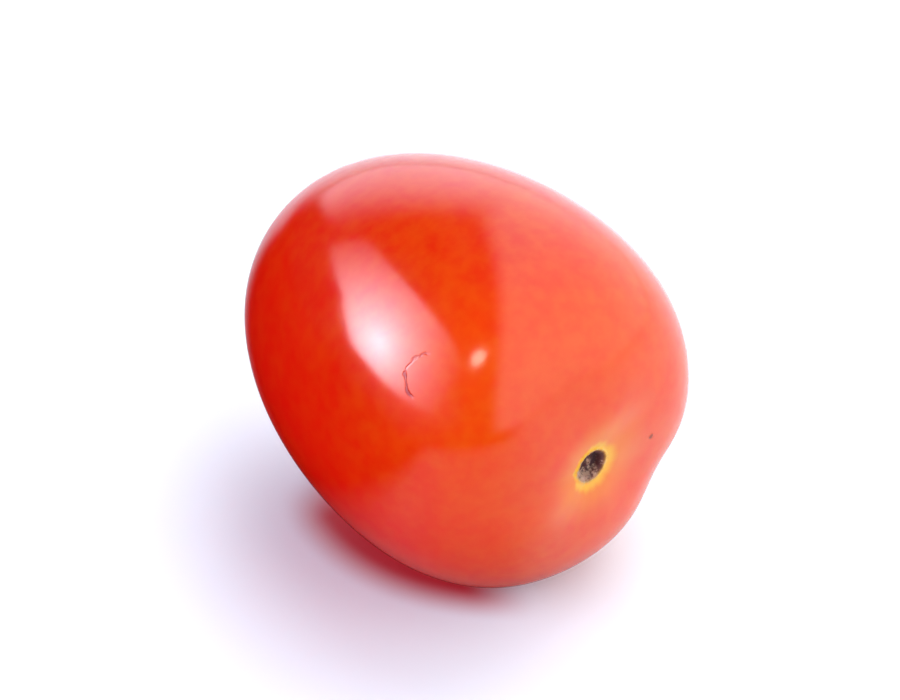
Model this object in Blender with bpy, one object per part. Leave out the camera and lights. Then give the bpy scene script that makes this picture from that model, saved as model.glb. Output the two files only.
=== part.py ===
"""A whole plum-shaped cherry tomato, picked without its green cap, lying on the small flat spot under it.

Metres, +Z up. The long axis lies along Y with the stem end towards -Y, and the fruit rests on z = 0.
A place on the skin is given by two angles: "down" runs from 0 at the stem end to pi at the blossom end,
and "around" runs about the long axis, from +X through the top.
"""

import math

import bmesh
import bpy
from mathutils import Vector

# The body of the fruit
LENGTH = 0.0339
DIAMETER = 0.0280
ROUNDED_ENDS = 0.048
BLUNT_STEM_END = 0.031
BELLY = 0.992
SHOULDER = 0.065

# How far the body is from a turned one: taller than wide, faintly three-sided, with five soft ribs
OVAL = 0.018
OVAL_PHASE = math.radians(89.0)
THREE_SIDES = 0.010
THREE_SIDES_PHASE = math.radians(11.0)
RIB_COUNT = 5
RIB_HEIGHT = 0.00008
RIB_DISTANCE = 0.0065
RIB_PHASE = math.radians(1.0)

# The hollow that the stem sat in, with the corky scar of the stem at its bottom
DIMPLE_DEPTH = 0.00055
DIMPLE_RADIUS = 0.0023
SCAR_RADIUS = 0.00150
SCAR_RING_WIDTH = 0.00028
SCAR_RING_HEIGHT = 0.00012
PIT_RADIUS = 0.00098
PIT_DEPTH = 0.00048
PIT_WALL = 0.00022
PLUG_RADIUS = 0.00036
PLUG_HEIGHT = 0.00030

# Two broad shallow hollows beside the scar, which flatten the stem end: down, around, depth and radius
FACE_HOLLOW = (math.radians(18.0), math.radians(-24.0), 0.00085, 0.0046)
SHOULDER_HOLLOW = (math.radians(43.0), math.radians(-36.0), 0.00052, 0.0030)

# The dry point that the flower left
TIP_RADIUS = 0.00045
TIP_HEIGHT = 0.00022
TIP_HOLLOW_RADIUS = 0.0016
TIP_HOLLOW_DEPTH = 0.00015

# How far its own weight and soft skin have flattened it where it lies
FLAT_SPOT_DEPTH = 0.00032

# Fineness of the mesh, with the rings crowded towards both ends
AROUND_STEPS = 72
DOWN_STEPS = 60
RING_CROWDING = 0.84

SKIN_COLOUR = (0.78, 0.030, 0.004, 1.0)
SKIN_ROUGHNESS = 0.22


def bell(distance, width):
    """1 in the middle, falling smoothly to nothing a few widths away."""
    return math.exp(-((distance / width) ** 2))


def smooth_step(value, start, end):
    """0 before start, 1 after end, and a smooth slope between them."""
    share = min(max((value - start) / (end - start), 0.0), 1.0)
    return share * share * (3.0 - 2.0 * share)


def outline(down):
    """Place along the axis, with the stem end positive, and distance from the axis."""
    along = math.cos(down) - BLUNT_STEM_END * math.cos(2.0 * down)
    along += ROUNDED_ENDS * (math.cos(down) - math.cos(3.0 * down))
    away = BELLY * math.sin(down) + SHOULDER * math.sin(2.0 * down)
    return LENGTH / 2.0 * along, DIAMETER / 2.0 * away


def out_of_round(down, around):
    """The share by which the fruit is wider than a turned one here."""
    oval = OVAL * math.sin(down) * math.cos(2.0 * (around - OVAL_PHASE))
    three_sides = THREE_SIDES * math.sin(down) ** 2 * math.cos(3.0 * (around - THREE_SIDES_PHASE))
    return oval + three_sides


def rib(away, around):
    """Height of the soft ribs that run from the stem hollow out over the shoulder."""
    reach = (away / RIB_DISTANCE) ** 2 * math.exp(1.0 - (away / RIB_DISTANCE) ** 2)
    return RIB_HEIGHT * reach * math.cos(RIB_COUNT * (around - RIB_PHASE))


def stem_relief(away):
    """Height of the skin at the stem end over the plain outline: hollow, corky ring, pit and plug."""
    hollow = -DIMPLE_DEPTH * bell(away, DIMPLE_RADIUS)
    ring_middle = SCAR_RADIUS - SCAR_RING_WIDTH / 2.0
    ring = SCAR_RING_HEIGHT * bell(away - ring_middle, SCAR_RING_WIDTH / 2.0)
    pit = PIT_DEPTH * (smooth_step(away, PIT_RADIUS - PIT_WALL / 2.0, PIT_RADIUS + PIT_WALL / 2.0) - 1.0)
    plug = PLUG_HEIGHT * bell(away, PLUG_RADIUS)
    return hollow + ring + pit + plug


def blossom_relief(away):
    """Height of the skin at the blossom end over the plain outline: a faint hollow with a dry point in it."""
    return TIP_HEIGHT * bell(away, TIP_RADIUS) - TIP_HOLLOW_DEPTH * bell(away, TIP_HOLLOW_RADIUS)


def push_in(point):
    """The point, moved towards the middle of the fruit where one of the broad hollows is."""
    depth = 0.0
    for down, around, deepest, radius in (FACE_HOLLOW, SHOULDER_HOLLOW):
        along, away = outline(down)
        centre = Vector((away * math.cos(around), -along, away * math.sin(around)))
        depth += deepest * bell((point - centre).length, radius)
    return point * (1.0 - depth / point.length)


def skin_point(down, around):
    """The place of one point of the skin, with the fruit's axis level and through the origin."""
    along, away = outline(down)
    if down < math.pi / 2.0:
        along += stem_relief(away) + rib(away, around)
    else:
        along -= blossom_relief(away)
    away *= 1.0 + out_of_round(down, around)
    return push_in(Vector((away * math.cos(around), -along, away * math.sin(around))))


def ring_angle(step):
    """The angle of one ring of the mesh, counted from the stem end."""
    share = step / DOWN_STEPS
    return math.pi * (share - RING_CROWDING * math.sin(2.0 * math.pi * share) / (2.0 * math.pi))


def build_rings(mesh):
    """The mesh's corners: the two ends, and the rings between them."""
    stem_end = mesh.verts.new(skin_point(0.0, 0.0))
    rings = []
    for step in range(1, DOWN_STEPS):
        down = ring_angle(step)
        turns = [2.0 * math.pi * index / AROUND_STEPS for index in range(AROUND_STEPS)]
        rings.append([mesh.verts.new(skin_point(down, around)) for around in turns])
    blossom_end = mesh.verts.new(skin_point(math.pi, 0.0))
    return stem_end, rings, blossom_end


def build_skin(mesh):
    """The closed skin of the fruit, before its flat spot is cut."""
    stem_end, rings, blossom_end = build_rings(mesh)
    for index in range(AROUND_STEPS):
        after = (index + 1) % AROUND_STEPS
        mesh.faces.new((stem_end, rings[0][index], rings[0][after]))
        for near, far in zip(rings, rings[1:]):
            mesh.faces.new((near[index], far[index], far[after], near[after]))
        mesh.faces.new((blossom_end, rings[-1][after], rings[-1][index]))
    bmesh.ops.recalc_face_normals(mesh, faces=mesh.faces)


def lower_onto_table(mesh):
    """Puts the fruit on the table, sunk by the depth of its flat spot."""
    lowest = min(vert.co.z for vert in mesh.verts)
    bmesh.ops.translate(mesh, verts=mesh.verts, vec=(0.0, 0.0, -lowest - FLAT_SPOT_DEPTH))


def cut_flat_spot(mesh):
    """Cuts away what is below the table, and closes the cut with one flat face."""
    everything = mesh.verts[:] + mesh.edges[:] + mesh.faces[:]
    cut = bmesh.ops.bisect_plane(
        mesh, geom=everything, dist=1e-5, plane_co=(0.0, 0.0, 0.0), plane_no=(0.0, 0.0, 1.0), clear_inner=True
    )
    rim = [item for item in cut["geom_cut"] if isinstance(item, bmesh.types.BMEdge)]
    for vert in {vert for edge in rim for vert in edge.verts}:
        vert.co.z = 0.0
    bmesh.ops.edgeloop_fill(mesh, edges=rim)
    bmesh.ops.recalc_face_normals(mesh, faces=mesh.faces)


def centre_on_origin(mesh):
    """Puts the middle of the fruit's box over the origin."""
    for axis, shift in ((0, Vector((1.0, 0.0, 0.0))), (1, Vector((0.0, 1.0, 0.0)))):
        places = [vert.co[axis] for vert in mesh.verts]
        bmesh.ops.translate(mesh, verts=mesh.verts, vec=-shift * (min(places) + max(places)) / 2.0)


def make_skin_material():
    """Ripe glossy tomato skin."""
    material = bpy.data.materials.new("skin")
    material.use_nodes = True
    shader = material.node_tree.nodes["Principled BSDF"]
    shader.inputs["Base Color"].default_value = SKIN_COLOUR
    shader.inputs["Roughness"].default_value = SKIN_ROUGHNESS
    shader.inputs["Metallic"].default_value = 0.0
    material.diffuse_color = SKIN_COLOUR
    return material


def make_tomato():
    """The whole fruit, grown as one piece and so one solid."""
    mesh = bmesh.new()
    build_skin(mesh)
    lower_onto_table(mesh)
    cut_flat_spot(mesh)
    centre_on_origin(mesh)
    data = bpy.data.meshes.new("tomato")
    mesh.to_mesh(data)
    mesh.free()
    data.materials.append(make_skin_material())
    for polygon in data.polygons:
        polygon.use_smooth = abs(polygon.normal.z + 1.0) > 1e-6
    tomato = bpy.data.objects.new("tomato", data)
    bpy.context.scene.collection.objects.link(tomato)


def clear_scene():
    """Removes everything that the startup file holds."""
    for thing in list(bpy.data.objects):
        bpy.data.objects.remove(thing, do_unlink=True)


clear_scene()
make_tomato()
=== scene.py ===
"""The looks of the cherry tomato: a fine skin in place of the plain solid, its colours and a white studio.

Metres, +Z up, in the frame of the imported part: the long axis lies along Y with the stem end towards -Y.
A place on the skin is given by two angles: "down" runs from 0 at the stem end to pi at the blossom end,
and "around" runs about the long axis, from +X through the top.
"""

import math

import bpy
import numpy as np
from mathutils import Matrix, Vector, noise


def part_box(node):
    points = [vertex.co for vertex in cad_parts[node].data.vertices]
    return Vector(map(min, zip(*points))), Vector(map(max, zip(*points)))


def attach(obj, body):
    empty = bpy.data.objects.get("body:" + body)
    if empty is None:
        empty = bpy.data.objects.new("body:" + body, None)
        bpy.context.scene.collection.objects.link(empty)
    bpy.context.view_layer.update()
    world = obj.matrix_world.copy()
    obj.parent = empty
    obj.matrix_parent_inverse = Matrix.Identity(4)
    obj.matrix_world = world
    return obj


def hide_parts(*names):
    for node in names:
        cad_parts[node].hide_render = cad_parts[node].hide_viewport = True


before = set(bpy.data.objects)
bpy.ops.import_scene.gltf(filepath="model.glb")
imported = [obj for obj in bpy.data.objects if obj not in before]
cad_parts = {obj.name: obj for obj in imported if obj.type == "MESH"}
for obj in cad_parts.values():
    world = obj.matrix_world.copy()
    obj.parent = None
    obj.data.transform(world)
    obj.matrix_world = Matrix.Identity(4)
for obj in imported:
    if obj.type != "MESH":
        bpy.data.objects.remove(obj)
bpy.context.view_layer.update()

# The body of the fruit, as in the solid
LENGTH = 0.0339
DIAMETER = 0.0280
ROUNDED_ENDS = 0.048
BLUNT_STEM_END = 0.031
BELLY = 0.992
SHOULDER = 0.065
OVAL = 0.018
OVAL_PHASE = math.radians(89.0)
THREE_SIDES = 0.010
THREE_SIDES_PHASE = math.radians(11.0)
RIB_COUNT = 5
RIB_HEIGHT = 0.00008
RIB_DISTANCE = 0.0065
RIB_PHASE = math.radians(1.0)

# The stem hollow and scar, as in the solid
DIMPLE_DEPTH = 0.00055
DIMPLE_RADIUS = 0.0023
SCAR_RADIUS = 0.00150
SCAR_RING_WIDTH = 0.00028
SCAR_RING_HEIGHT = 0.00012
PIT_RADIUS = 0.00098
PIT_DEPTH = 0.00048
PIT_WALL = 0.00022
PLUG_RADIUS = 0.00036
PLUG_HEIGHT = 0.00030

# The dry point at the blossom end, as in the solid
TIP_RADIUS = 0.00045
TIP_HEIGHT = 0.00022
TIP_HOLLOW_RADIUS = 0.0016
TIP_HOLLOW_DEPTH = 0.00015

# Two broad shallow hollows beside the scar, as in the solid: down, around, depth and radius
FACE_HOLLOW = (math.radians(18.0), math.radians(-24.0), 0.00085, 0.0046)
SHOULDER_HOLLOW = (math.radians(43.0), math.radians(-36.0), 0.00052, 0.0030)

# Fine relief that the solid doesn't have
SCAR_WOBBLE = 0.09
CORK_ROUGHNESS = 0.00005
CORK_GRAIN = 0.00022
CORK_RAYS = 0.6
SWELL_HEIGHT = 0.00003
SWELL_SIZE = 0.0065

# Noise that runs round the scar: how often it changes, and which part of the noise it is
WOBBLE_NOISE = (1.4, 3.7)
CORK_NOISE = (5.0, 9.1)
HALO_COARSE_NOISE = (2.2, 1.3)
HALO_FINE_NOISE = (6.0, 5.9)

# Fineness of the skin's mesh
AROUND_STEPS = 320
DOWN_STEPS = 240
RING_CROWDING = 0.86

# A deeper red is painted towards the lower left side, as painted shade and painted red reflection, and the
# colour turns to orange towards the stem end. Soft patches shift where both changes lie
SHADED_RED_SIDE = Vector((-0.75, 0.45, -0.48))
SHADED_RED_START = -0.004
SHADED_RED_END = 0.013
ORANGE_START = 0.004
ORANGE_END = 0.017
PATCH_SIZE = 0.011
PATCH_SHIFT = 0.012

# Fine orange mottling, as sizes and strengths, its edges, and how much of it the side with painted shade
# lacks
MOTTLES = ((0.0011, 0.13), (0.0035, 0.12))
MOTTLE_EDGE = (0.25, 0.75)
SHADED_RED_EVENNESS = 0.8

# The halo around the scar: distances from the axis, how ragged it is coarsely and finely, the side on
# which it is wider and by how much, and the strength of its orange part
HALO_INNER = 0.0016
HALO_YELLOW_END = 0.0027
HALO_ORANGE_END = 0.0060
HALO_RAGGEDNESS = 0.12
HALO_FINE_RAGGEDNESS = 0.06
HALO_SIDE = math.radians(-30.0)
HALO_ONE_SIDED = 0.18
HALO_STRENGTH = 0.9

# Edges of the cork's grain, the cork, the pit and the dry point, as shares of the radius of each, how wide
# the plug's pale top is, and how much of the pit's colour it hides
GRAIN_EDGE = (0.95, 1.25)
CORK_EDGE = (0.78, 0.98)
PIT_EDGE = (0.80, 1.10)
TIP_EDGE = (0.8, 1.7)
PLUG_SPREAD = 1.1
PLUG_IN_PIT = 0.85

# Pale crumbs of the stem in the scar: the side that has most, their size, how many more that side has, how
# few the rest has, and their edges
CRUMB_SIDE = math.radians(-125.0)
CRUMB_SIZE = 0.00035
CRUMB_REACH = 0.34
CRUMB_SCARCITY = 0.24
CRUMB_EDGE = (0.42, 0.62)

# Pale streaks that start at the scar, the one along the crest a painted highlight on the ridge there: down
# and around at both ends, half of the width, and strength
CREST_HIGHLIGHT_STREAK = (
    math.radians(9.0), math.radians(65.0), math.radians(31.0), math.radians(26.0), 0.00105, 0.25
)
LOWER_STREAK = (
    math.radians(9.0), math.radians(-150.0), math.radians(22.0), math.radians(-128.0), 0.00135, 0.30
)

# Where a streak starts before its near end, and where it starts to fade, as shares of its length
STREAK_LEAD_IN = 0.25
STREAK_FULL = 0.35

# A healed nick in the skin: a hooked line along part of a circle, which wanders a little and has gaps
NICK_DOWN = math.radians(60.4)
NICK_AROUND = math.radians(139.0)
NICK_RADIUS = 0.00175
NICK_LINE_WIDTH = 0.00016
NICK_ARC_MIDDLE = math.radians(11.5)
NICK_ARC_HALF = math.radians(76.0)
NICK_ARC_FULL = math.radians(60.8)
NICK_WANDER = 0.35
NICK_WANDER_SIZE = 0.0006
NICK_GAP_SIZE = 0.0007
NICK_GAPS = (0.25, 0.60)
NICK_DRYNESS = 0.35

# A brown speck on the shoulder, and how soft its edge is as a share of its radius
SPECK_DOWN = math.radians(23.0)
SPECK_AROUND = math.radians(-5.0)
SPECK_RADIUS = 0.00020
SPECK_SOFTNESS = 0.3

# Gloss of the skin: its refraction, its roughness, what soft patches of haze add to that, and what dryness
# adds
SKIN_IOR = 1.5
GLOSS_ROUGHNESS = 0.12
HAZE_ROUGHNESS = 0.05
HAZE_SIZE = 0.004
HAZE_EDGE = (0.3, 0.7)
DRY_ROUGHNESS = 0.6

# Light that enters the skin and comes out again nearby, mostly red
SUBSURFACE_WEIGHT = 0.35
SUBSURFACE_RADIUS = (1.0, 0.12, 0.05)
SUBSURFACE_SCALE = 0.004

# Pores in the skin and grain in what is dry, as bumps
PORE_SIZE = 0.00045
PORE_HEIGHT = 0.05
GRAIN_SIZE = 0.00012
BUMP_DISTANCE = 0.00004

# Colours
DEEP_RED = (0.66, 0.004, 0.0010)
BRIGHT_RED = (0.60, 0.011, 0.0006)
STEM_END_RED = (0.71, 0.045, 0.0012)
HALO_YELLOW = (0.78, 0.37, 0.009)
HALO_ORANGE = (0.74, 0.18, 0.005)
PALE_ORANGE = (0.80, 0.27, 0.10)
CORK_PALE = (0.40, 0.23, 0.17)
CORK_DARK = (0.090, 0.022, 0.020)
PIT_BROWN = (0.045, 0.010, 0.013)
SPECK_BROWN = (0.30, 0.055, 0.030)
NICK_COLOUR = (0.30, 0.012, 0.018)
TIP_COLOUR = (0.30, 0.11, 0.045)

# Camera, as in the photo: above and to the left of the stem end, with a long lens
CAMERA_AZIMUTH = math.radians(-37.0)
CAMERA_ELEVATION = math.radians(37.0)
CAMERA_DISTANCE = 0.60
CAMERA_LENS = 340.0
CAMERA_NEAR = 0.01
CAMERA_FAR = 10.0

# White panels far away, as azimuth and elevation seen from the fruit, with their brightness
PANEL = (math.radians(59.5), math.radians(7.0))
PANEL_EDGE = 0.21
PANEL_SOFTNESS = 0.09
PANEL_LIGHT = 1.75
BACKDROP = (math.radians(148.0), math.radians(-5.0))
BACKDROP_START = math.cos(math.radians(47.0))
BACKDROP_END = math.cos(math.radians(17.0))
BACKDROP_LEFT_SIDE = (math.radians(78.0), math.radians(43.0))
BACKDROP_LEFT_START = -0.03
BACKDROP_LEFT_END = 0.04
BACKDROP_LIGHT = 1.75
BACKDROP_COLOUR = (1.0, 0.99, 1.12)
PANEL_COLOUR = (0.91, 1.0, 0.97)
DARK_SIDE_LIGHT = 0.03
PLAIN_WHITE = 1.0

# Lamps around the fruit: azimuth and elevation, width and height, brightness
LAMP_DISTANCE = 0.5
KEY_LAMP = (math.radians(125.0), math.radians(58.0), 0.50, 0.50, 2.1)
FILL_LAMP = (math.radians(-92.0), math.radians(20.0), 0.80, 0.40, 4.0)
STEM_LAMP = (math.radians(20.0), math.radians(25.0), 0.40, 0.30, 1.5)
FRONT_LAMP = (math.radians(-43.0), math.radians(47.8), 0.085, 0.085, 12.0)
FILL_COLOUR = (1.0, 1.02, 1.25)
FRONT_COLOUR = (1.0, 0.93, 0.76)

# The softbox that the skin mirrors on the left: its azimuth and elevation, its corners and hot spot in
# its own plane, the distance over which its brightness falls off, and the brightness of the hot spot
SOFTBOX = (math.radians(-117.0), math.radians(30.0))
SOFTBOX_UPPER_CORNERS = ((0.50, 0.30), (0.25, 0.30), (-0.15, 0.21), (-0.50, 0.135))
SOFTBOX_LOWER_CORNERS = ((-0.52, -0.025), (-0.25, -0.065), (-0.10, -0.165), (0.05, -0.165), (0.50, -0.13))
SOFTBOX_HOT_SPOT = (-0.035, -0.05, 0.0)
SOFTBOX_FALL_OFF = 0.15
SOFTBOX_LIGHT = 27.0
SOFTBOX_COLOUR = (1.0, 0.88, 1.0, 1.0)

# The table, which fades into plain white far away, and the corner of it that the fruit mirrors dark red, a
# painted reflection as if more fruit lay there
FLOOR_SIZE = 3.0
WALL_HEIGHT = 1.0
FLOOR_DROP = 0.00002
FAR_START = 0.10
FAR_END = 0.28
FLOOR_COLOUR = (0.83, 0.87, 0.95)
FLOOR_ROUGHNESS = 0.40
PAINTED_REFLECTION_COLOUR = (0.16, 0.004, 0.003)
DARK_CORNER_SIDES = (math.radians(-158.0), math.radians(-95.0))
DARK_CORNER_START = -0.002
DARK_CORNER_END = 0.012

# Painted shadow, crimson as if light shone through the fruit into it: a round patch on the table, of which
# the camera sees a crescent on the left, and the sides past which it fades, with where the fade starts
# and ends
PAINTED_RED_SHADOW_COLOUR = (0.55, 0.030, 0.045)
SHINE_MIDDLE = (0.0060, 0.0007, 0.0)
SHINE_START = 0.0174
SHINE_END = 0.0137
SHINE_SIDES = ((math.radians(-110.0), -0.0030, 0.0020), (0.0, -0.0100, -0.0040))

# Painted shade in what the fruit mirrors of the rest of the table: dim on the left, dark red further out
# there, and dim close to the fruit
DIM_SIDE = math.radians(-100.0)
DIM_START = -0.40
DIM_END = 0.25
DIMNESS = 0.5
EDGE_START = 0.09
EDGE_END = 0.17
EDGE_SIDE_START = -0.20
EDGE_SIDE_END = 0.125
NEAR_START = 0.030
NEAR_END = 0.010
NEARNESS = 0.30


def bell(distance, width):
    """1 in the middle, falling smoothly to nothing a few widths away."""
    return np.exp(-((distance / width) ** 2))


def smooth_step(value, start, end):
    """0 before start, 1 after end, and a smooth slope between them."""
    share = np.clip((value - start) / (end - start), 0.0, 1.0)
    return share * share * (3.0 - 2.0 * share)


def noise_over(points, size):
    """Smooth noise from -1 to 1 at each point, with lumps of about that size."""
    return np.array([noise.noise(Vector(point) / size) for point in points])


def ray_noise(around, frequency, offset):
    """Noise that depends on the angle around the axis alone, and closes on itself."""
    circle = np.stack([np.cos(around), np.sin(around), np.zeros_like(around)], axis=1) * frequency
    return noise_over(circle + offset, 1.0)


def inside(distance, radius, edge):
    """1 inside a round mark and 0 outside it. The soft edge is given as two shares of its radius."""
    return 1.0 - smooth_step(distance, radius * edge[0], radius * edge[1])


def outline(down):
    """Place along the axis, with the stem end positive, and distance from the axis."""
    along = np.cos(down) - BLUNT_STEM_END * np.cos(2.0 * down)
    along += ROUNDED_ENDS * (np.cos(down) - np.cos(3.0 * down))
    away = BELLY * np.sin(down) + SHOULDER * np.sin(2.0 * down)
    return LENGTH / 2.0 * along, DIAMETER / 2.0 * away


def out_of_round(down, around):
    """The share by which the fruit is wider than a turned one here."""
    oval = OVAL * np.sin(down) * np.cos(2.0 * (around - OVAL_PHASE))
    three_sides = THREE_SIDES * np.sin(down) ** 2 * np.cos(3.0 * (around - THREE_SIDES_PHASE))
    return oval + three_sides


def rib(away, around):
    """Height of the soft ribs that run from the stem hollow out over the shoulder."""
    reach = (away / RIB_DISTANCE) ** 2 * np.exp(1.0 - (away / RIB_DISTANCE) ** 2)
    return RIB_HEIGHT * reach * np.cos(RIB_COUNT * (around - RIB_PHASE))


def scar_distance(away, around):
    """Distance from the axis, warped so that the scar's rings aren't true circles."""
    return away * (1.0 + SCAR_WOBBLE * ray_noise(around, *WOBBLE_NOISE))


def stem_relief(away, warped):
    """Height of the skin over the plain outline at the stem end: hollow, corky ring, pit and plug."""
    hollow = -DIMPLE_DEPTH * bell(away, DIMPLE_RADIUS)
    ring_middle = SCAR_RADIUS - SCAR_RING_WIDTH / 2.0
    ring = SCAR_RING_HEIGHT * bell(warped - ring_middle, SCAR_RING_WIDTH / 2.0)
    pit = PIT_DEPTH * (smooth_step(warped, PIT_RADIUS - PIT_WALL / 2.0, PIT_RADIUS + PIT_WALL / 2.0) - 1.0)
    plug = PLUG_HEIGHT * bell(warped, PLUG_RADIUS)
    return hollow + ring + pit + plug


def blossom_relief(away):
    """Height of the skin over the plain outline at the blossom end: a faint hollow with a dry point."""
    return TIP_HEIGHT * bell(away, TIP_RADIUS) - TIP_HOLLOW_DEPTH * bell(away, TIP_HOLLOW_RADIUS)


def push_in_hollows(points):
    """Pushes the skin in, towards the middle of the fruit, where the broad hollows are."""
    depth = np.zeros(len(points))
    for down, around, deepest, radius in (FACE_HOLLOW, SHOULDER_HOLLOW):
        along, away = outline(down)
        centre = np.array([away * math.cos(around), -along, away * math.sin(around)])
        depth += deepest * bell(np.linalg.norm(points - centre, axis=1), radius)
    return points * (1.0 - depth / np.linalg.norm(points, axis=1))[:, None]


def skin_points(down, around):
    """The places of points of the skin, with the fruit's axis level and through the origin."""
    along, away = outline(down)
    warped = scar_distance(away, around)
    stem_half = down < math.pi / 2.0
    relief = np.where(stem_half, stem_relief(away, warped) + rib(away, around), blossom_relief(away))
    along = np.where(stem_half, along + relief, along - relief)
    away = away * (1.0 + out_of_round(down, around))
    points = np.stack([away * np.cos(around), -along, away * np.sin(around)], axis=1)
    return push_in_hollows(points)


def add_fine_relief(points, down, around):
    """Adds the crumbly grain of the cork, and faint swells all over the skin."""
    away = outline(down)[1]
    cork = inside(away, SCAR_RADIUS, GRAIN_EDGE) * (down < math.pi / 2.0)
    grain = noise_over(points, CORK_GRAIN) + CORK_RAYS * ray_noise(around, *CORK_NOISE)
    points[:, 1] -= CORK_ROUGHNESS * cork * grain
    swell = 1.0 + SWELL_HEIGHT / (DIAMETER / 2.0) * noise_over(points, SWELL_SIZE)
    return points * swell[:, None]


def streak(points, down_from, around_from, down_to, around_to, half_width, strength):
    """A soft streak along a straight line between two places on the skin, fading at its far end."""
    near, far = skin_points(np.array([down_from, down_to]), np.array([around_from, around_to]))
    length = np.linalg.norm(far - near)
    along = (points - near) @ (far - near) / length
    across = np.cross(near, far)
    off_line = points @ across / np.linalg.norm(across)
    start = smooth_step(along, -STREAK_LEAD_IN * length, 0.0)
    end = 1.0 - smooth_step(along, STREAK_FULL * length, length)
    same_side = points @ (near + far) > 0.0
    return strength * start * end * same_side * bell(off_line, half_width)


def ring_angles():
    """The angles of the mesh's rings, counted from the stem end, without the two ends themselves."""
    share = np.arange(1, DOWN_STEPS) / DOWN_STEPS
    return math.pi * (share - RING_CROWDING * np.sin(2.0 * math.pi * share) / (2.0 * math.pi))


def skin_angles():
    """Both angles of every corner of the mesh: the stem end, ring after ring, then the blossom end."""
    turns = 2.0 * math.pi * np.arange(AROUND_STEPS) / AROUND_STEPS
    down = np.repeat(ring_angles(), AROUND_STEPS)
    around = np.tile(turns, DOWN_STEPS - 1)
    down = np.concatenate([[0.0], down, [math.pi]])
    around = np.concatenate([[0.0], around, [0.0]])
    return down, around


def skin_faces():
    """The faces of the mesh, as lists of corner numbers."""
    faces = []
    last = (DOWN_STEPS - 1) * AROUND_STEPS + 1
    for index in range(AROUND_STEPS):
        after = (index + 1) % AROUND_STEPS
        faces.append((0, 1 + after, 1 + index))
        for ring in range(DOWN_STEPS - 2):
            near = 1 + ring * AROUND_STEPS
            far = near + AROUND_STEPS
            faces.append((near + index, near + after, far + after, far + index))
        start = last - AROUND_STEPS
        faces.append((last, start + index, start + after))
    return faces


def place_in_box(points):
    """Moves the skin to where the solid is, and flattens what lies below the table, as its flat spot."""
    low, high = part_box("tomato")
    points = points.copy()
    for axis in (0, 1):
        middle = (points[:, axis].min() + points[:, axis].max()) / 2.0
        points[:, axis] += (low[axis] + high[axis]) / 2.0 - middle
    points[:, 2] += high.z - points[:, 2].max()
    points[:, 2] = np.maximum(points[:, 2], low.z)
    return points


def halo_shares(away, around):
    """How yellow and how orange the skin round the scar is: ragged, and wider on one side."""
    rays = 1.0 + HALO_RAGGEDNESS * ray_noise(around, *HALO_COARSE_NOISE)
    rays += HALO_FINE_RAGGEDNESS * ray_noise(around, *HALO_FINE_NOISE)
    one_sided = 1.0 - HALO_ONE_SIDED + HALO_ONE_SIDED * np.cos(around - HALO_SIDE)
    yellow = 1.0 - smooth_step(away, HALO_INNER * rays, HALO_YELLOW_END * rays * one_sided)
    orange = 1.0 - smooth_step(away, HALO_INNER * rays, HALO_ORANGE_END * rays * one_sided)
    return yellow, orange


def colour_marks(down, around):
    """Shares from 0 to 1 for the skin: halo, cork, pit, streaks and a painted highlight, blossom point."""
    away = outline(down)[1]
    warped = scar_distance(away, around)
    stem_half = down < math.pi / 2.0
    yellow, orange = halo_shares(away, around)
    plug = bell(warped, PLUG_RADIUS * PLUG_SPREAD)
    crumbs = (1.0 + np.cos(around - CRUMB_SIDE)) / 2.0
    points = skin_points(down, around)
    return {
        "halo_yellow": yellow * stem_half,
        "halo_orange": orange * stem_half,
        "cork": inside(warped, SCAR_RADIUS, CORK_EDGE) * stem_half,
        "pit": inside(warped, PIT_RADIUS, PIT_EDGE) * (1.0 - PLUG_IN_PIT * plug) * stem_half,
        "crumbs": np.maximum(crumbs * smooth_step(away, 0.0, PIT_RADIUS), plug) * stem_half,
        "streaks": streak(points, *CREST_HIGHLIGHT_STREAK) + streak(points, *LOWER_STREAK),
        "tip": inside(away, TIP_RADIUS, TIP_EDGE) * (down > math.pi / 2.0),
    }


def make_skin():
    """The fruit's skin as a fine closed mesh, with its marks stored on its corners."""
    down, around = skin_angles()
    points = place_in_box(add_fine_relief(skin_points(down, around), down, around))
    data = bpy.data.meshes.new("tomato_skin")
    data.from_pydata(points.tolist(), [], skin_faces())
    for name, values in colour_marks(down, around).items():
        mark = data.attributes.new(name, "FLOAT", "POINT")
        mark.data.foreach_set("value", values.astype(np.float32))
    data.polygons.foreach_set("use_smooth", [True] * len(data.polygons))
    data.update()
    skin = bpy.data.objects.new("tomato_skin", data)
    bpy.context.scene.collection.objects.link(skin)
    return skin


def place_on_skin(down, around):
    """One point of the placed skin, and the directions in which down and around grow there."""
    step = 0.01
    downs = np.array([down, down + step, down])
    arounds = np.array([around, around, around + step])
    whole_skin = skin_points(*skin_angles())
    offset = place_in_box(whole_skin).max(axis=0) - whole_skin.max(axis=0)
    spot, further_down, further_around = skin_points(downs, arounds) + offset
    downward = Vector(further_down - spot).normalized()
    sideways = Vector(further_around - spot).normalized()
    return Vector(spot), downward, sideways


def add_node(tree, kind, inputs=None, **settings):
    """Adds a node. Inputs maps sockets to values or to the outputs that feed them."""
    made = tree.nodes.new(kind)
    for name, value in settings.items():
        setattr(made, name, value)
    for key, value in (inputs or {}).items():
        if isinstance(value, bpy.types.NodeSocket):
            tree.links.new(value, made.inputs[key])
        else:
            made.inputs[key].default_value = value
    return made


def calculate(tree, operation, first, second=0.0):
    """The output of a Math node."""
    return add_node(tree, "ShaderNodeMath", {0: first, 1: second}, operation=operation).outputs[0]


def scale_and_add(tree, value, factor, added):
    """A value times a factor, plus what is added."""
    inputs = {0: value, 1: factor, 2: added}
    return add_node(tree, "ShaderNodeMath", inputs, operation="MULTIPLY_ADD").outputs[0]


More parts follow.
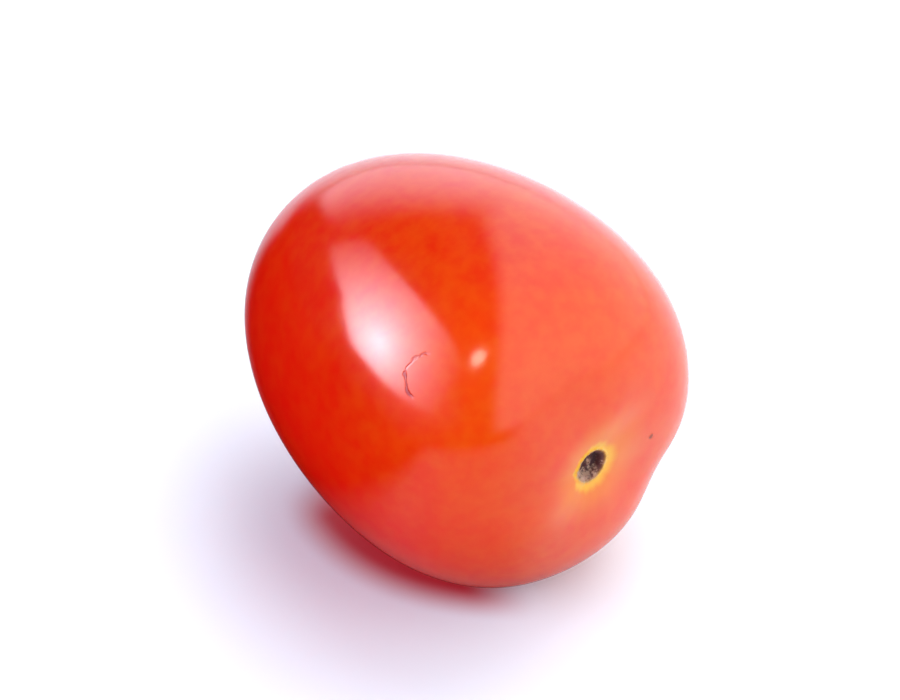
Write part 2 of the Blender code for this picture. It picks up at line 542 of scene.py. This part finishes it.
def vector_math(tree, operation, vector, fixed=(0.0, 0.0, 0.0)):
    """The outputs of a Vector Math node, for a vector and a fixed one."""
    return add_node(tree, "ShaderNodeVectorMath", {0: vector, 1: tuple(fixed)}, operation=operation).outputs


def dot_product(tree, vector, fixed):
    """The dot product with a fixed vector."""
    return vector_math(tree, "DOT_PRODUCT", vector, fixed)["Value"]


def fade(tree, value, start, end):
    """A share that goes smoothly from 0 at start to 1 at end."""
    inputs = {"Value": value, "From Min": start, "From Max": end, "To Min": 0.0, "To Max": 1.0}
    made = add_node(tree, "ShaderNodeMapRange", inputs, interpolation_type="SMOOTHSTEP")
    return made.outputs["Result"]


def mix_colours(tree, share, first, second):
    """Two colours mixed: the first where the share is 0, and the second where it is 1."""
    made = tree.nodes.new("ShaderNodeMix")
    made.data_type = "RGBA"
    for index, value in ((0, share), (6, first), (7, second)):
        if isinstance(value, bpy.types.NodeSocket):
            tree.links.new(value, made.inputs[index])
        elif index == 0:
            made.inputs[index].default_value = value
        else:
            made.inputs[index].default_value = (*value, 1.0)
    return made.outputs[2]


def noise_node(tree, vector, size, detail=3.0):
    """Noise with lumps of about that size, as a value around 0.5."""
    inputs = {"Vector": vector, "Scale": 1.0 / size, "Detail": detail}
    return add_node(tree, "ShaderNodeTexNoise", inputs).outputs["Fac"]


def mark_value(tree, name):
    """A mark that the mesh carries."""
    return add_node(tree, "ShaderNodeAttribute", attribute_name=name).outputs["Fac"]


def spot_mask(tree, place, centre, radius):
    """1 inside a small round spot, with a soft edge."""
    distance = vector_math(tree, "DISTANCE", place, centre)["Value"]
    return fade(tree, distance, radius * (1.0 + SPECK_SOFTNESS), radius * (1.0 - SPECK_SOFTNESS))


def nick_mask(tree, place):
    """1 along the hooked line of the healed nick, which wanders a little and has gaps."""
    centre, downward, sideways = place_on_skin(NICK_DOWN, NICK_AROUND)
    offset = vector_math(tree, "SUBTRACT", place, centre)["Vector"]
    length = vector_math(tree, "LENGTH", offset)["Value"]
    reach = NICK_RADIUS * NICK_WANDER
    wander = noise_node(tree, place, NICK_WANDER_SIZE, detail=2.0)
    wander = scale_and_add(tree, wander, reach, -reach / 2.0)
    off_line = calculate(tree, "SUBTRACT", calculate(tree, "ADD", length, wander), NICK_RADIUS)
    off_line = calculate(tree, "ABSOLUTE", off_line)
    on_line = fade(tree, off_line, NICK_LINE_WIDTH, NICK_LINE_WIDTH / 4.0)
    middle = downward * math.cos(NICK_ARC_MIDDLE) + sideways * math.sin(NICK_ARC_MIDDLE)
    turned = calculate(tree, "DIVIDE", dot_product(tree, offset, middle), length)
    on_arc = fade(tree, turned, math.cos(NICK_ARC_HALF), math.cos(NICK_ARC_FULL))
    unbroken = fade(tree, noise_node(tree, place, NICK_GAP_SIZE, detail=1.0), *NICK_GAPS)
    return calculate(tree, "MULTIPLY", calculate(tree, "MULTIPLY", on_line, on_arc), unbroken)


def red_of_skin(tree, place):
    """The red of the skin: deeper on one side as painted shade, more orange at the stem end, and mottled.
    """
    patches = noise_node(tree, place, PATCH_SIZE, detail=2.0)
    patches = scale_and_add(tree, patches, PATCH_SHIFT, -PATCH_SHIFT / 2.0)
    towards_stem = calculate(tree, "ADD", dot_product(tree, place, (0.0, -1.0, 0.0)), patches)
    stem_end = fade(tree, towards_stem, ORANGE_START, ORANGE_END)
    colour = mix_colours(tree, stem_end, BRIGHT_RED, STEM_END_RED)
    off_middle = vector_math(tree, "SUBTRACT", place, (0.0, 0.0, DIAMETER / 2.0))["Vector"]
    # Painted shade and painted red reflection: a deeper red towards the lower left side
    shadedness = calculate(tree, "ADD", dot_product(tree, off_middle, SHADED_RED_SIDE.normalized()), patches)
    shaded_red = fade(tree, shadedness, SHADED_RED_START, SHADED_RED_END)
    colour = mix_colours(tree, shaded_red, colour, DEEP_RED)
    unshaded = scale_and_add(tree, shaded_red, -SHADED_RED_EVENNESS, 1.0)
    for size, strength in MOTTLES:
        mottle = fade(tree, noise_node(tree, place, size), *MOTTLE_EDGE)
        mottle = calculate(tree, "MULTIPLY", calculate(tree, "MULTIPLY", mottle, strength), unshaded)
        colour = mix_colours(tree, mottle, colour, HALO_ORANGE)
    return colour


def crumb_mask(tree, place):
    """1 on the pale crumbs in the scar."""
    share = scale_and_add(tree, mark_value(tree, "crumbs"), CRUMB_REACH, -CRUMB_SCARCITY)
    lumps = calculate(tree, "ADD", noise_node(tree, place, CRUMB_SIZE), share)
    return calculate(tree, "MULTIPLY", fade(tree, lumps, *CRUMB_EDGE), mark_value(tree, "cork"))


def skin_colour(tree, place, nick, speck):
    """The colour of the skin: mottled red, with each mark laid over what comes before it."""
    orange = calculate(tree, "MULTIPLY", mark_value(tree, "halo_orange"), HALO_STRENGTH)
    colour = red_of_skin(tree, place)
    for share, over in (
        # Pale streaks, the one along the crest a painted highlight
        (mark_value(tree, "streaks"), PALE_ORANGE),
        (orange, HALO_ORANGE),
        (mark_value(tree, "halo_yellow"), HALO_YELLOW),
        (mark_value(tree, "cork"), CORK_DARK),
        (mark_value(tree, "pit"), PIT_BROWN),
        (crumb_mask(tree, place), CORK_PALE),
        (mark_value(tree, "tip"), TIP_COLOUR),
        (nick, NICK_COLOUR),
        (speck, SPECK_BROWN),
    ):
        colour = mix_colours(tree, share, colour, over)
    return colour


def skin_dryness(tree, nick, speck):
    """1 where the surface is dry cork or scar, and 0 on glossy skin."""
    dry = calculate(tree, "MAXIMUM", mark_value(tree, "cork"), mark_value(tree, "tip"))
    dry = calculate(tree, "MAXIMUM", dry, calculate(tree, "MULTIPLY", nick, NICK_DRYNESS))
    return calculate(tree, "MAXIMUM", dry, speck)


def skin_roughness(tree, place, dry):
    """Glossy skin with soft patches of haze, and rough where it is dry."""
    haze = fade(tree, noise_node(tree, place, HAZE_SIZE), *HAZE_EDGE)
    glossy = scale_and_add(tree, haze, HAZE_ROUGHNESS, GLOSS_ROUGHNESS)
    return scale_and_add(tree, dry, DRY_ROUGHNESS, glossy)


def skin_bumps(tree, place, dry, nick):
    """The normal of the skin, with its pores, the grain of what is dry, and the sunken nick."""
    pores = calculate(tree, "MULTIPLY", noise_node(tree, place, PORE_SIZE), PORE_HEIGHT)
    grain = calculate(tree, "MULTIPLY", noise_node(tree, place, GRAIN_SIZE), dry)
    height = calculate(tree, "SUBTRACT", calculate(tree, "ADD", pores, grain), nick)
    inputs = {"Height": height, "Strength": 1.0, "Distance": BUMP_DISTANCE}
    return add_node(tree, "ShaderNodeBump", inputs).outputs["Normal"]


def make_skin_material():
    """Ripe tomato skin: glossy and a little translucent, with dry cork at the scar."""
    material = bpy.data.materials.new("tomato_skin")
    material.use_nodes = True
    tree = material.node_tree
    shader = tree.nodes["Principled BSDF"]
    place = add_node(tree, "ShaderNodeTexCoord").outputs["Object"]
    nick = nick_mask(tree, place)
    speck = spot_mask(tree, place, place_on_skin(SPECK_DOWN, SPECK_AROUND)[0], SPECK_RADIUS)
    dry = skin_dryness(tree, nick, speck)
    tree.links.new(skin_colour(tree, place, nick, speck), shader.inputs["Base Color"])
    tree.links.new(skin_roughness(tree, place, dry), shader.inputs["Roughness"])
    tree.links.new(skin_bumps(tree, place, dry, nick), shader.inputs["Normal"])
    shader.inputs["IOR"].default_value = SKIN_IOR
    shader.inputs["Subsurface Weight"].default_value = SUBSURFACE_WEIGHT
    shader.inputs["Subsurface Radius"].default_value = SUBSURFACE_RADIUS
    shader.inputs["Subsurface Scale"].default_value = SUBSURFACE_SCALE
    return material


def direction(azimuth, elevation):
    """The direction seen from the fruit: azimuth 0 is -Y and 90 degrees is +X."""
    level = math.cos(elevation)
    return Vector((math.sin(azimuth) * level, -math.cos(azimuth) * level, math.sin(elevation)))


def make_surroundings():
    """White studio panels far away, as the fruit mirrors them. The camera itself sees plain white."""
    world = bpy.data.worlds.new("studio")
    bpy.context.scene.world = world
    world.use_nodes = True
    tree = world.node_tree
    tree.nodes.clear()
    towards = add_node(tree, "ShaderNodeTexCoord").outputs["Generated"]
    panel = dot_product(tree, towards, direction(*PANEL))
    panel = fade(tree, panel, PANEL_EDGE - PANEL_SOFTNESS, PANEL_EDGE + PANEL_SOFTNESS)
    backdrop = dot_product(tree, towards, direction(*BACKDROP))
    backdrop = fade(tree, backdrop, BACKDROP_START, BACKDROP_END)
    left_end = dot_product(tree, towards, direction(*BACKDROP_LEFT_SIDE))
    left_end = fade(tree, left_end, BACKDROP_LEFT_START, BACKDROP_LEFT_END)
    backdrop = calculate(tree, "MULTIPLY", backdrop, left_end)
    bright = calculate(tree, "MULTIPLY", backdrop, BACKDROP_LIGHT)
    bright = calculate(tree, "MAXIMUM", bright, calculate(tree, "MULTIPLY", panel, PANEL_LIGHT))
    bright = calculate(tree, "MAXIMUM", bright, DARK_SIDE_LIGHT)
    tint = mix_colours(tree, panel, BACKDROP_COLOUR, PANEL_COLOUR)
    studio = add_node(tree, "ShaderNodeBackground", {"Color": tint, "Strength": bright})
    plain = add_node(tree, "ShaderNodeBackground", {"Strength": PLAIN_WHITE})
    seen = add_node(tree, "ShaderNodeLightPath").outputs["Is Camera Ray"]
    mixed = add_node(tree, "ShaderNodeMixShader", {0: seen, 1: studio.outputs[0], 2: plain.outputs[0]})
    output = tree.nodes.new("ShaderNodeOutputWorld")
    tree.links.new(mixed.outputs[0], output.inputs["Surface"])


def make_lamp(name, azimuth, elevation, width, height, brightness):
    """An oval lamp that faces the fruit, and that the camera doesn't see. Its power goes with its area."""
    data = bpy.data.lights.new(name, "AREA")
    data.shape = "ELLIPSE"
    data.size = width
    data.size_y = height
    data.energy = brightness * math.pi * (math.pi / 4.0 * width * height)
    lamp = bpy.data.objects.new(name, data)
    outward = direction(azimuth, elevation)
    lamp.location = fruit_centre() + outward * LAMP_DISTANCE
    lamp.rotation_euler = outward.to_track_quat("Z", "Y").to_euler()
    lamp.visible_camera = False
    bpy.context.scene.collection.objects.link(lamp)
    return lamp


def make_lamps():
    """Three lamps that only light the scene, and one that only shows as a reflection on the skin."""
    make_lamp("key_lamp", *KEY_LAMP).visible_glossy = False
    make_lamp("stem_lamp", *STEM_LAMP).visible_glossy = False
    fill_lamp = make_lamp("fill_lamp", *FILL_LAMP)
    fill_lamp.visible_glossy = False
    fill_lamp.data.color = FILL_COLOUR
    front_lamp = make_lamp("front_lamp", *FRONT_LAMP)
    front_lamp.visible_diffuse = False
    front_lamp.data.color = FRONT_COLOUR


def make_softbox_material():
    """Light that falls off from the softbox's hot spot towards its edges."""
    material = bpy.data.materials.new("softbox")
    material.use_nodes = True
    tree = material.node_tree
    tree.nodes.clear()
    place = add_node(tree, "ShaderNodeTexCoord").outputs["Object"]
    away = vector_math(tree, "DISTANCE", place, SOFTBOX_HOT_SPOT)["Value"]
    share = calculate(tree, "EXPONENT", calculate(tree, "DIVIDE", away, -SOFTBOX_FALL_OFF))
    strength = calculate(tree, "MULTIPLY", share, SOFTBOX_LIGHT)
    light = add_node(tree, "ShaderNodeEmission", {"Color": SOFTBOX_COLOUR, "Strength": strength})
    output = tree.nodes.new("ShaderNodeOutputMaterial")
    tree.links.new(light.outputs[0], output.inputs["Surface"])
    return material


def make_softbox():
    """The softbox, which lights nothing and only shows as a reflection."""
    corners = [(x, y, 0.0) for x, y in SOFTBOX_UPPER_CORNERS + SOFTBOX_LOWER_CORNERS]
    softbox = add_staging("softbox", corners, [tuple(range(len(corners)))], make_softbox_material())
    outward = direction(*SOFTBOX)
    softbox.location = fruit_centre() + outward * LAMP_DISTANCE
    softbox.rotation_euler = outward.to_track_quat("Z", "Y").to_euler()
    softbox.visible_camera = False
    softbox.visible_diffuse = False
    softbox.visible_shadow = False


def fruit_centre():
    """The middle of the fruit's box."""
    low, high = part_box("tomato")
    return (low + high) / 2.0


def painted_mirrored_shade(tree, place):
    """Painted shade and painted reflection: how dark the fruit mirrors each place of the table, from 0 to
    1.
    """
    distance = vector_math(tree, "LENGTH", place)["Value"]
    towards = vector_math(tree, "NORMALIZE", place)["Vector"]
    leftward = dot_product(tree, towards, direction(DIM_SIDE, 0.0))
    dim = calculate(tree, "MULTIPLY", fade(tree, leftward, DIM_START, DIM_END), DIMNESS)
    beyond_edge = fade(tree, distance, EDGE_START, EDGE_END)
    on_left = fade(tree, leftward, EDGE_SIDE_START, EDGE_SIDE_END)
    beyond_edge = calculate(tree, "MULTIPLY", beyond_edge, on_left)
    near = calculate(tree, "MULTIPLY", fade(tree, distance, NEAR_START, NEAR_END), NEARNESS)
    corner = 1.0
    for side in DARK_CORNER_SIDES:
        reach = dot_product(tree, place, direction(side, 0.0))
        reach = fade(tree, reach, DARK_CORNER_START, DARK_CORNER_END)
        corner = calculate(tree, "MULTIPLY", reach, corner)
    bright = 1.0
    for share in (dim, beyond_edge, near, corner):
        bright = calculate(tree, "MULTIPLY", calculate(tree, "SUBTRACT", 1.0, share), bright)
    return calculate(tree, "SUBTRACT", 1.0, bright)


def painted_red_shadow_mask(tree, place):
    """1 on the table where the crimson shadow is painted, as if light through the fruit coloured it."""
    away = vector_math(tree, "DISTANCE", place, SHINE_MIDDLE)["Value"]
    shine = fade(tree, away, SHINE_START, SHINE_END)
    for side, start, end in SHINE_SIDES:
        reach = fade(tree, dot_product(tree, place, direction(side, 0.0)), start, end)
        shine = calculate(tree, "MULTIPLY", reach, shine)
    return shine


def make_floor_material():
    """White, a painted crimson shadow under the fruit, plain white far off; mirrored darker as painted
    shade.
    """
    material = bpy.data.materials.new("floor")
    material.use_nodes = True
    tree = material.node_tree
    white = tree.nodes["Principled BSDF"]
    white.inputs["Roughness"].default_value = FLOOR_ROUGHNESS
    # Painted reflection: the dark red that the fruit mirrors in place of the table
    red = add_node(tree, "ShaderNodeBsdfDiffuse", {"Color": (*PAINTED_REFLECTION_COLOUR, 1.0)})
    place = add_node(tree, "ShaderNodeTexCoord").outputs["Object"]
    # Painted shadow: a crimson patch on the table under the fruit
    colour = mix_colours(tree, painted_red_shadow_mask(tree, place), FLOOR_COLOUR, PAINTED_RED_SHADOW_COLOUR)
    tree.links.new(colour, white.inputs["Base Color"])
    seen = add_node(tree, "ShaderNodeLightPath").outputs["Is Camera Ray"]
    mirrored = calculate(tree, "SUBTRACT", 1.0, seen)
    # Painted shade and painted reflection, seen by every ray but the camera's
    dark = calculate(tree, "MULTIPLY", painted_mirrored_shade(tree, place), mirrored)
    table = add_node(tree, "ShaderNodeMixShader", {0: dark, 1: white.outputs[0], 2: red.outputs[0]})
    distance = vector_math(tree, "LENGTH", place)["Value"]
    far = calculate(tree, "MULTIPLY", fade(tree, distance, FAR_START, FAR_END), seen)
    plain = add_node(tree, "ShaderNodeEmission", {"Strength": PLAIN_WHITE})
    mixed = add_node(tree, "ShaderNodeMixShader", {0: far, 1: table.outputs[0], 2: plain.outputs[0]})
    tree.links.new(mixed.outputs[0], tree.nodes["Material Output"].inputs["Surface"])
    material.cycles.emission_sampling = "NONE"
    return material


def make_wall_material():
    """Plain white, whatever the light."""
    material = bpy.data.materials.new("wall")
    material.use_nodes = True
    tree = material.node_tree
    plain = add_node(tree, "ShaderNodeEmission", {"Strength": PLAIN_WHITE})
    tree.links.new(plain.outputs[0], tree.nodes["Material Output"].inputs["Surface"])
    material.cycles.emission_sampling = "NONE"
    return material


def add_staging(name, corners, faces, material):
    """A mesh that belongs to the studio, and isn't part of the fruit."""
    data = bpy.data.meshes.new(name)
    data.from_pydata(corners, [], faces)
    data.materials.append(material)
    made = bpy.data.objects.new(name, data)
    bpy.context.scene.collection.objects.link(made)
    return made


def table_corners(height):
    """The corners of the table top, at that height."""
    half = FLOOR_SIZE / 2.0
    return [(-half, -half, height), (half, -half, height), (half, half, height), (-half, half, height)]


def make_floor():
    """The table top."""
    floor = add_staging("floor", table_corners(0.0), [(0, 1, 2, 3)], make_floor_material())
    floor.location.z = -FLOOR_DROP


def make_wall():
    """A wall round the table, which only the camera sees."""
    corners = table_corners(-FLOOR_DROP) + table_corners(WALL_HEIGHT)
    sides = [(index, (index + 1) % 4, 4 + (index + 1) % 4, 4 + index) for index in range(4)]
    wall = add_staging("wall", corners, sides, make_wall_material())
    wall.visible_diffuse = False
    wall.visible_glossy = False
    wall.visible_transmission = False
    wall.visible_shadow = False


def make_camera():
    """A long lens that looks down at the fruit, as in the photo."""
    camera = bpy.data.objects.new("camera", bpy.data.cameras.new("camera"))
    outward = direction(CAMERA_AZIMUTH, CAMERA_ELEVATION)
    camera.location = fruit_centre() + outward * CAMERA_DISTANCE
    camera.rotation_euler = outward.to_track_quat("Z", "Y").to_euler()
    camera.data.lens = CAMERA_LENS
    camera.data.clip_start = CAMERA_NEAR
    camera.data.clip_end = CAMERA_FAR
    bpy.context.scene.collection.objects.link(camera)
    bpy.context.scene.camera = camera


def make_tomato():
    """The skin, in place of the plain solid."""
    skin = make_skin()
    skin.data.materials.append(make_skin_material())
    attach(skin, "root")
    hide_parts("tomato")


make_tomato()
make_floor()
make_wall()
make_surroundings()
make_lamps()
make_softbox()
make_camera()
bpy.context.scene.view_settings.view_transform = "Standard"
